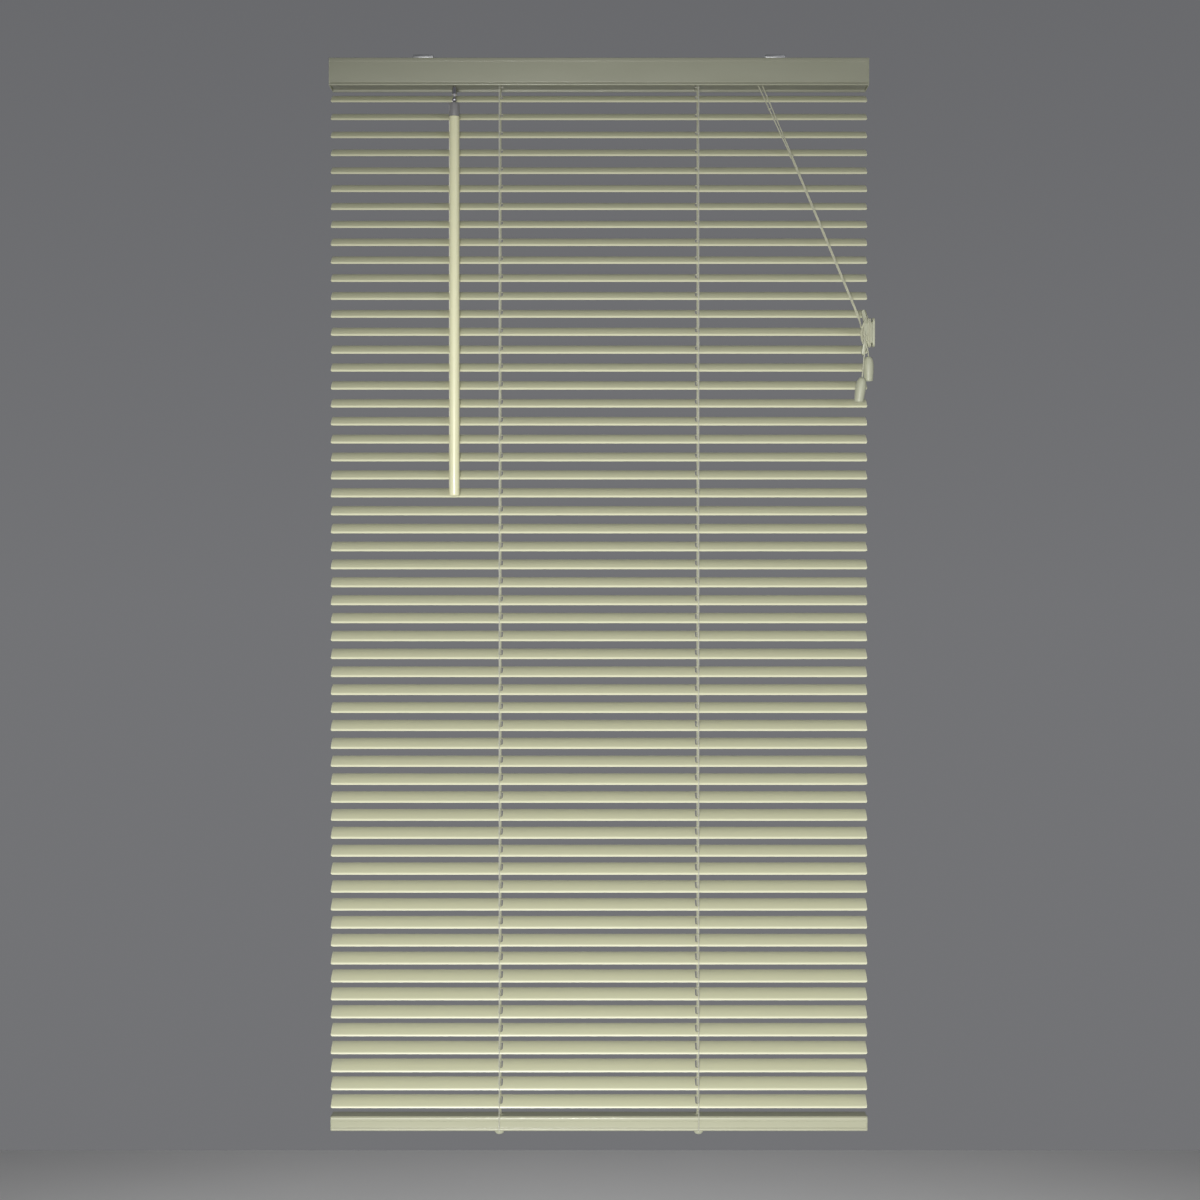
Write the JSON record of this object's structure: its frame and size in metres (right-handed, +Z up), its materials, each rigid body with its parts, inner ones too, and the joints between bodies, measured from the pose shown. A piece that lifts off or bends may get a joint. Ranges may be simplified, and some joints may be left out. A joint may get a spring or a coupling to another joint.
{
  "type": "venetian blind",
  "caption": "Horizontal-slat aluminium blind with tilt wand, string ladders, lift cords on a wall cleat, and a ceiling-clipped headrail",
  "frame": {"origin": "midway between the two ceiling screws, on the ceiling plane", "axes": "+Z up, +Y away from the room, +X to the right as seen from the room"},
  "size_m": [0.6483, 0.0616, 1.2905],
  "materials": {
    "slat_paint": "satin baked enamel on aluminium",
    "rail_paint": "satin baked enamel on rolled steel",
    "cap_plastic": "moulded, lightly textured",
    "zinc_steel": "zinc plated",
    "bright_metal": "bright nickel plated",
    "mechanism_nylon": "natural nylon",
    "collar_plastic": "grey, semi-gloss",
    "wand_plastic": "pale cream, semi-gloss",
    "ladder_string": "braided polyester",
    "braided_cord": "braided polyester"
  },
  "bodies": {
    "headrail_body": {"headrail": "rail_paint", "end_cap_left": "cap_plastic", "end_cap_right": "cap_plastic", "ceiling_clips": "zinc_steel", "tilter_housing": "mechanism_nylon", "drum_cradles": "mechanism_nylon", "cord_lock_body": "mechanism_nylon", "cord_lock_pin": "zinc_steel", "ladder_left": "ladder_string", "ladder_right": "ladder_string", "lift_cords": "braided_cord", "cleat": "cap_plastic", "pull_cord_left": "braided_cord", "pull_cord_right": "braided_cord", "cord_knots": "braided_cord", "cord_winding": "braided_cord", "cord_tails": "braided_cord", "tassels": "cap_plastic", "slats_odd": "slat_paint"},
    "tilt_shaft": {"tilt_rod": "zinc_steel", "ladder_drums": "mechanism_nylon", "worm_gear": "mechanism_nylon"},
    "tilter_spindle": {"tilter_worm": "bright_metal"},
    "wand_joint": {"wand_hook": "bright_metal"},
    "wand_body": {"wand_collar": "collar_plastic", "wand": "wand_plastic"},
    "bottom_rail_body": {"bottom_rail": "rail_paint", "bottom_rail_caps": "cap_plastic", "ladder_buttons": "cap_plastic"},
    "cord_lock_jaw": {"cord_lock_pawl": "mechanism_nylon"},
    "left_clip_lever": {"clip_lever_left": "zinc_steel"},
    "right_clip_lever": {"clip_lever_right": "zinc_steel"},
    "slat_02_body": {"slat_02": "slat_paint"},
    "slat_04_body": {"slat_04": "slat_paint"},
    "slat_06_body": {"slat_06": "slat_paint"},
    "slat_08_body": {"slat_08": "slat_paint"},
    "slat_10_body": {"slat_10": "slat_paint"},
    "slat_12_body": {"slat_12": "slat_paint"},
    "slat_14_body": {"slat_14": "slat_paint"},
    "slat_16_body": {"slat_16": "slat_paint"},
    "slat_18_body": {"slat_18": "slat_paint"},
    "slat_20_body": {"slat_20": "slat_paint"},
    "slat_22_body": {"slat_22": "slat_paint"},
    "slat_24_body": {"slat_24": "slat_paint"},
    "slat_26_body": {"slat_26": "slat_paint"},
    "slat_28_body": {"slat_28": "slat_paint"},
    "slat_30_body": {"slat_30": "slat_paint"},
    "slat_32_body": {"slat_32": "slat_paint"},
    "slat_34_body": {"slat_34": "slat_paint"},
    "slat_36_body": {"slat_36": "slat_paint"},
    "slat_38_body": {"slat_38": "slat_paint"},
    "slat_40_body": {"slat_40": "slat_paint"},
    "slat_42_body": {"slat_42": "slat_paint"},
    "slat_44_body": {"slat_44": "slat_paint"},
    "slat_46_body": {"slat_46": "slat_paint"},
    "slat_48_body": {"slat_48": "slat_paint"},
    "slat_50_body": {"slat_50": "slat_paint"},
    "slat_52_body": {"slat_52": "slat_paint"},
    "slat_54_body": {"slat_54": "slat_paint"},
    "slat_56_body": {"slat_56": "slat_paint"}
  },
  "joints": [
    {"name": "rod_turn", "type": "hinge", "parent": "headrail_body", "child": "tilt_shaft", "pos_m": [0, 0, -0.019], "axis": [1, 0, 0], "range_deg": [-90, 45], "deforming": ["ladder_left", "ladder_right"]},
    {"name": "spindle_turn", "type": "hinge", "parent": "headrail_body", "child": "tilter_spindle", "pos_m": [-0.1725, -0.00966, -0.01641], "axis": [0, -0.2588, -0.9659], "range_deg": [-1440, 720]},
    {"name": "wand_swing", "type": "hinge", "parent": "headrail_body", "child": "wand_joint", "pos_m": [-0.1725, -0.0196, -0.0535], "axis": [-1, 0, 0], "range_deg": [0, 60]},
    {"name": "wand_turn", "type": "hinge", "parent": "wand_joint", "child": "wand_body", "pos_m": [-0.1725, -0.0196, -0.06], "axis": [0, 0, -1], "range_deg": [-1440, 720]},
    {"name": "lift", "type": "slide", "parent": "headrail_body", "child": "bottom_rail_body", "axis": [0, 0, 1], "range_m": [0, 1.07], "deforming": ["ladder_left", "ladder_right", "lift_cords", "slats_odd", "slat_02", "slat_04", "slat_06", "slat_08", "slat_10", "slat_12", "slat_14", "slat_16", "slat_18", "slat_20", "slat_22", "slat_24", "slat_26", "slat_28", "slat_30", "slat_32", "slat_34", "slat_36", "slat_38", "slat_40", "slat_42", "slat_44", "slat_46", "slat_48", "slat_50", "slat_52", "slat_54", "slat_56"]},
    {"name": "cord_lock", "type": "hinge", "parent": "headrail_body", "child": "cord_lock_jaw", "pos_m": [0.193, -0.004, -0.019], "axis": [1, 0, 0], "range_deg": [0, 35]},
    {"name": "clip_left", "type": "hinge", "parent": "headrail_body", "child": "left_clip_lever", "pos_m": [-0.21, 0.006, -0.00575], "axis": [0, 0, 1], "range_deg": [0, 90]},
    {"name": "clip_right", "type": "hinge", "parent": "headrail_body", "child": "right_clip_lever", "pos_m": [0.21, 0.006, -0.00575], "axis": [0, 0, -1], "range_deg": [0, 90]},
    {"name": "slat_02_tilt", "type": "hinge", "parent": "headrail_body", "child": "slat_02_body", "pos_m": [0, 0, -0.069], "axis": [1, 0, 0], "range_deg": [-90, 45]},
    {"name": "slat_04_tilt", "type": "hinge", "parent": "headrail_body", "child": "slat_04_body", "pos_m": [0, 0, -0.112], "axis": [1, 0, 0], "range_deg": [-90, 45]},
    {"name": "slat_06_tilt", "type": "hinge", "parent": "headrail_body", "child": "slat_06_body", "pos_m": [0, 0, -0.155], "axis": [1, 0, 0], "range_deg": [-90, 45]},
    {"name": "slat_08_tilt", "type": "hinge", "parent": "headrail_body", "child": "slat_08_body", "pos_m": [0, 0, -0.198], "axis": [1, 0, 0], "range_deg": [-90, 45]},
    {"name": "slat_10_tilt", "type": "hinge", "parent": "headrail_body", "child": "slat_10_body", "pos_m": [0, 0, -0.241], "axis": [1, 0, 0], "range_deg": [-90, 45]},
    {"name": "slat_12_tilt", "type": "hinge", "parent": "headrail_body", "child": "slat_12_body", "pos_m": [0, 0, -0.284], "axis": [1, 0, 0], "range_deg": [-90, 45]},
    {"name": "slat_14_tilt", "type": "hinge", "parent": "headrail_body", "child": "slat_14_body", "pos_m": [0, 0, -0.327], "axis": [1, 0, 0], "range_deg": [-90, 45]},
    {"name": "slat_16_tilt", "type": "hinge", "parent": "headrail_body", "child": "slat_16_body", "pos_m": [0, 0, -0.37], "axis": [1, 0, 0], "range_deg": [-90, 45]},
    {"name": "slat_18_tilt", "type": "hinge", "parent": "headrail_body", "child": "slat_18_body", "pos_m": [0, 0, -0.413], "axis": [1, 0, 0], "range_deg": [-90, 45]},
    {"name": "slat_20_tilt", "type": "hinge", "parent": "headrail_body", "child": "slat_20_body", "pos_m": [0, 0, -0.456], "axis": [1, 0, 0], "range_deg": [-90, 45]},
    {"name": "slat_22_tilt", "type": "hinge", "parent": "headrail_body", "child": "slat_22_body", "pos_m": [0, 0, -0.499], "axis": [1, 0, 0], "range_deg": [-90, 45]},
    {"name": "slat_24_tilt", "type": "hinge", "parent": "headrail_body", "child": "slat_24_body", "pos_m": [0, 0, -0.542], "axis": [1, 0, 0], "range_deg": [-90, 45]},
    {"name": "slat_26_tilt", "type": "hinge", "parent": "headrail_body", "child": "slat_26_body", "pos_m": [0, 0, -0.585], "axis": [1, 0, 0], "range_deg": [-90, 45]},
    {"name": "slat_28_tilt", "type": "hinge", "parent": "headrail_body", "child": "slat_28_body", "pos_m": [0, 0, -0.628], "axis": [1, 0, 0], "range_deg": [-90, 45]},
    {"name": "slat_30_tilt", "type": "hinge", "parent": "headrail_body", "child": "slat_30_body", "pos_m": [0, 0, -0.671], "axis": [1, 0, 0], "range_deg": [-90, 45]},
    {"name": "slat_32_tilt", "type": "hinge", "parent": "headrail_body", "child": "slat_32_body", "pos_m": [0, 0, -0.714], "axis": [1, 0, 0], "range_deg": [-90, 45]},
    {"name": "slat_34_tilt", "type": "hinge", "parent": "headrail_body", "child": "slat_34_body", "pos_m": [0, 0, -0.757], "axis": [1, 0, 0], "range_deg": [-90, 45]},
    {"name": "slat_36_tilt", "type": "hinge", "parent": "headrail_body", "child": "slat_36_body", "pos_m": [0, 0, -0.8], "axis": [1, 0, 0], "range_deg": [-90, 45]},
    {"name": "slat_38_tilt", "type": "hinge", "parent": "headrail_body", "child": "slat_38_body", "pos_m": [0, 0, -0.843], "axis": [1, 0, 0], "range_deg": [-90, 45]},
    {"name": "slat_40_tilt", "type": "hinge", "parent": "headrail_body", "child": "slat_40_body", "pos_m": [0, 0, -0.886], "axis": [1, 0, 0], "range_deg": [-90, 45]},
    {"name": "slat_42_tilt", "type": "hinge", "parent": "headrail_body", "child": "slat_42_body", "pos_m": [0, 0, -0.929], "axis": [1, 0, 0], "range_deg": [-90, 45]},
    {"name": "slat_44_tilt", "type": "hinge", "parent": "headrail_body", "child": "slat_44_body", "pos_m": [0, 0, -0.972], "axis": [1, 0, 0], "range_deg": [-90, 45]},
    {"name": "slat_46_tilt", "type": "hinge", "parent": "headrail_body", "child": "slat_46_body", "pos_m": [0, 0, -1.015], "axis": [1, 0, 0], "range_deg": [-90, 45]},
    {"name": "slat_48_tilt", "type": "hinge", "parent": "headrail_body", "child": "slat_48_body", "pos_m": [0, 0, -1.058], "axis": [1, 0, 0], "range_deg": [-90, 45]},
    {"name": "slat_50_tilt", "type": "hinge", "parent": "headrail_body", "child": "slat_50_body", "pos_m": [0, 0, -1.101], "axis": [1, 0, 0], "range_deg": [-90, 45]},
    {"name": "slat_52_tilt", "type": "hinge", "parent": "headrail_body", "child": "slat_52_body", "pos_m": [0, 0, -1.144], "axis": [1, 0, 0], "range_deg": [-90, 45]},
    {"name": "slat_54_tilt", "type": "hinge", "parent": "headrail_body", "child": "slat_54_body", "pos_m": [0, 0, -1.187], "axis": [1, 0, 0], "range_deg": [-90, 45]},
    {"name": "slat_56_tilt", "type": "hinge", "parent": "headrail_body", "child": "slat_56_body", "pos_m": [0, 0, -1.23], "axis": [1, 0, 0], "range_deg": [-90, 45]}
  ],
  "couplings": [
    {"joint": "spindle_turn", "follows": "wand_turn", "ratio": 1},
    {"joint": "rod_turn", "follows": "wand_turn", "ratio": 0.0625},
    {"joint": "slat_02_tilt", "follows": "wand_turn", "ratio": 0.0625},
    {"joint": "slat_04_tilt", "follows": "wand_turn", "ratio": 0.0625},
    {"joint": "slat_06_tilt", "follows": "wand_turn", "ratio": 0.0625},
    {"joint": "slat_08_tilt", "follows": "wand_turn", "ratio": 0.0625},
    {"joint": "slat_10_tilt", "follows": "wand_turn", "ratio": 0.0625},
    {"joint": "slat_12_tilt", "follows": "wand_turn", "ratio": 0.0625},
    {"joint": "slat_14_tilt", "follows": "wand_turn", "ratio": 0.0625},
    {"joint": "slat_16_tilt", "follows": "wand_turn", "ratio": 0.0625},
    {"joint": "slat_18_tilt", "follows": "wand_turn", "ratio": 0.0625},
    {"joint": "slat_20_tilt", "follows": "wand_turn", "ratio": 0.0625},
    {"joint": "slat_22_tilt", "follows": "wand_turn", "ratio": 0.0625},
    {"joint": "slat_24_tilt", "follows": "wand_turn", "ratio": 0.0625},
    {"joint": "slat_26_tilt", "follows": "wand_turn", "ratio": 0.0625},
    {"joint": "slat_28_tilt", "follows": "wand_turn", "ratio": 0.0625},
    {"joint": "slat_30_tilt", "follows": "wand_turn", "ratio": 0.0625},
    {"joint": "slat_32_tilt", "follows": "wand_turn", "ratio": 0.0625},
    {"joint": "slat_34_tilt", "follows": "wand_turn", "ratio": 0.0625},
    {"joint": "slat_36_tilt", "follows": "wand_turn", "ratio": 0.0625},
    {"joint": "slat_38_tilt", "follows": "wand_turn", "ratio": 0.0625},
    {"joint": "slat_40_tilt", "follows": "wand_turn", "ratio": 0.0625},
    {"joint": "slat_42_tilt", "follows": "wand_turn", "ratio": 0.0625},
    {"joint": "slat_44_tilt", "follows": "wand_turn", "ratio": 0.0625},
    {"joint": "slat_46_tilt", "follows": "wand_turn", "ratio": 0.0625},
    {"joint": "slat_48_tilt", "follows": "wand_turn", "ratio": 0.0625},
    {"joint": "slat_50_tilt", "follows": "wand_turn", "ratio": 0.0625},
    {"joint": "slat_52_tilt", "follows": "wand_turn", "ratio": 0.0625},
    {"joint": "slat_54_tilt", "follows": "wand_turn", "ratio": 0.0625},
    {"joint": "slat_56_tilt", "follows": "wand_turn", "ratio": 0.0625}
  ]
}
